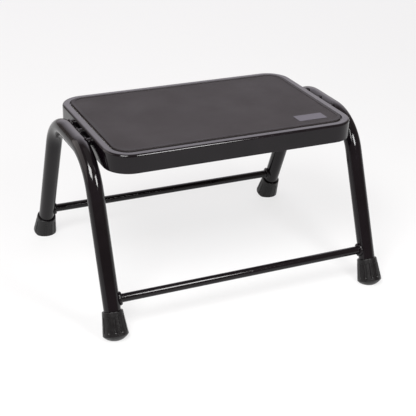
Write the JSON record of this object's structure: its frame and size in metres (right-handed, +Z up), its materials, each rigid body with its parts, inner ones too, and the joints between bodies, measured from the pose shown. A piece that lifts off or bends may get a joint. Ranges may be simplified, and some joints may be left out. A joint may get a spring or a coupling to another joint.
{
  "type": "step stool",
  "caption": "Fixed step stool with two bent round tube side frames, low rails, a shallow rectangular tread with an inset rubber mat, and fluted rubber feet.",
  "frame": {"origin": "on the floor under the middle of the tread", "axes": "+X along the tread's length, to the right seen from the front; +Y from front to back; +Z up"},
  "size_m": [0.4692, 0.3958, 0.2608],
  "materials": {
    "frame_paint": "gloss black powder coat on steel tube",
    "weld_paint": "gloss black powder coat over weld beads",
    "tray_paint": "gloss black powder coat on pressed steel sheet",
    "mat_rubber": "matte, fine grain, smooth raised border",
    "adhesive": "double-sided tape",
    "badge": "satin grey, blank",
    "foot_rubber": "satin black moulded rubber",
    "zinc_steel": "zinc plated"
  },
  "bodies": {
    "root": {"side_tube_left": "frame_paint", "side_tube_right": "frame_paint", "rail_front": "frame_paint", "rail_rear": "frame_paint", "cross_bar_front": "frame_paint", "cross_bar_middle": "frame_paint", "cross_bar_rear": "frame_paint", "rail_weld_front_left": "weld_paint", "rail_weld_front_right": "weld_paint", "rail_weld_rear_left": "weld_paint", "rail_weld_rear_right": "weld_paint", "cross_bar_welds_left": "weld_paint", "cross_bar_welds_right": "weld_paint", "tray_tack_welds": "weld_paint", "tread_tray": "tray_paint", "mat_adhesive": "adhesive", "tread_mat": "mat_rubber", "badge_plate": "badge", "foot_front_left": "foot_rubber", "foot_front_right": "foot_rubber", "foot_rear_left": "foot_rubber", "foot_rear_right": "foot_rubber", "foot_washer_front_left": "zinc_steel", "foot_washer_front_right": "zinc_steel", "foot_washer_rear_left": "zinc_steel", "foot_washer_rear_right": "zinc_steel"}
  },
  "joints": []
}
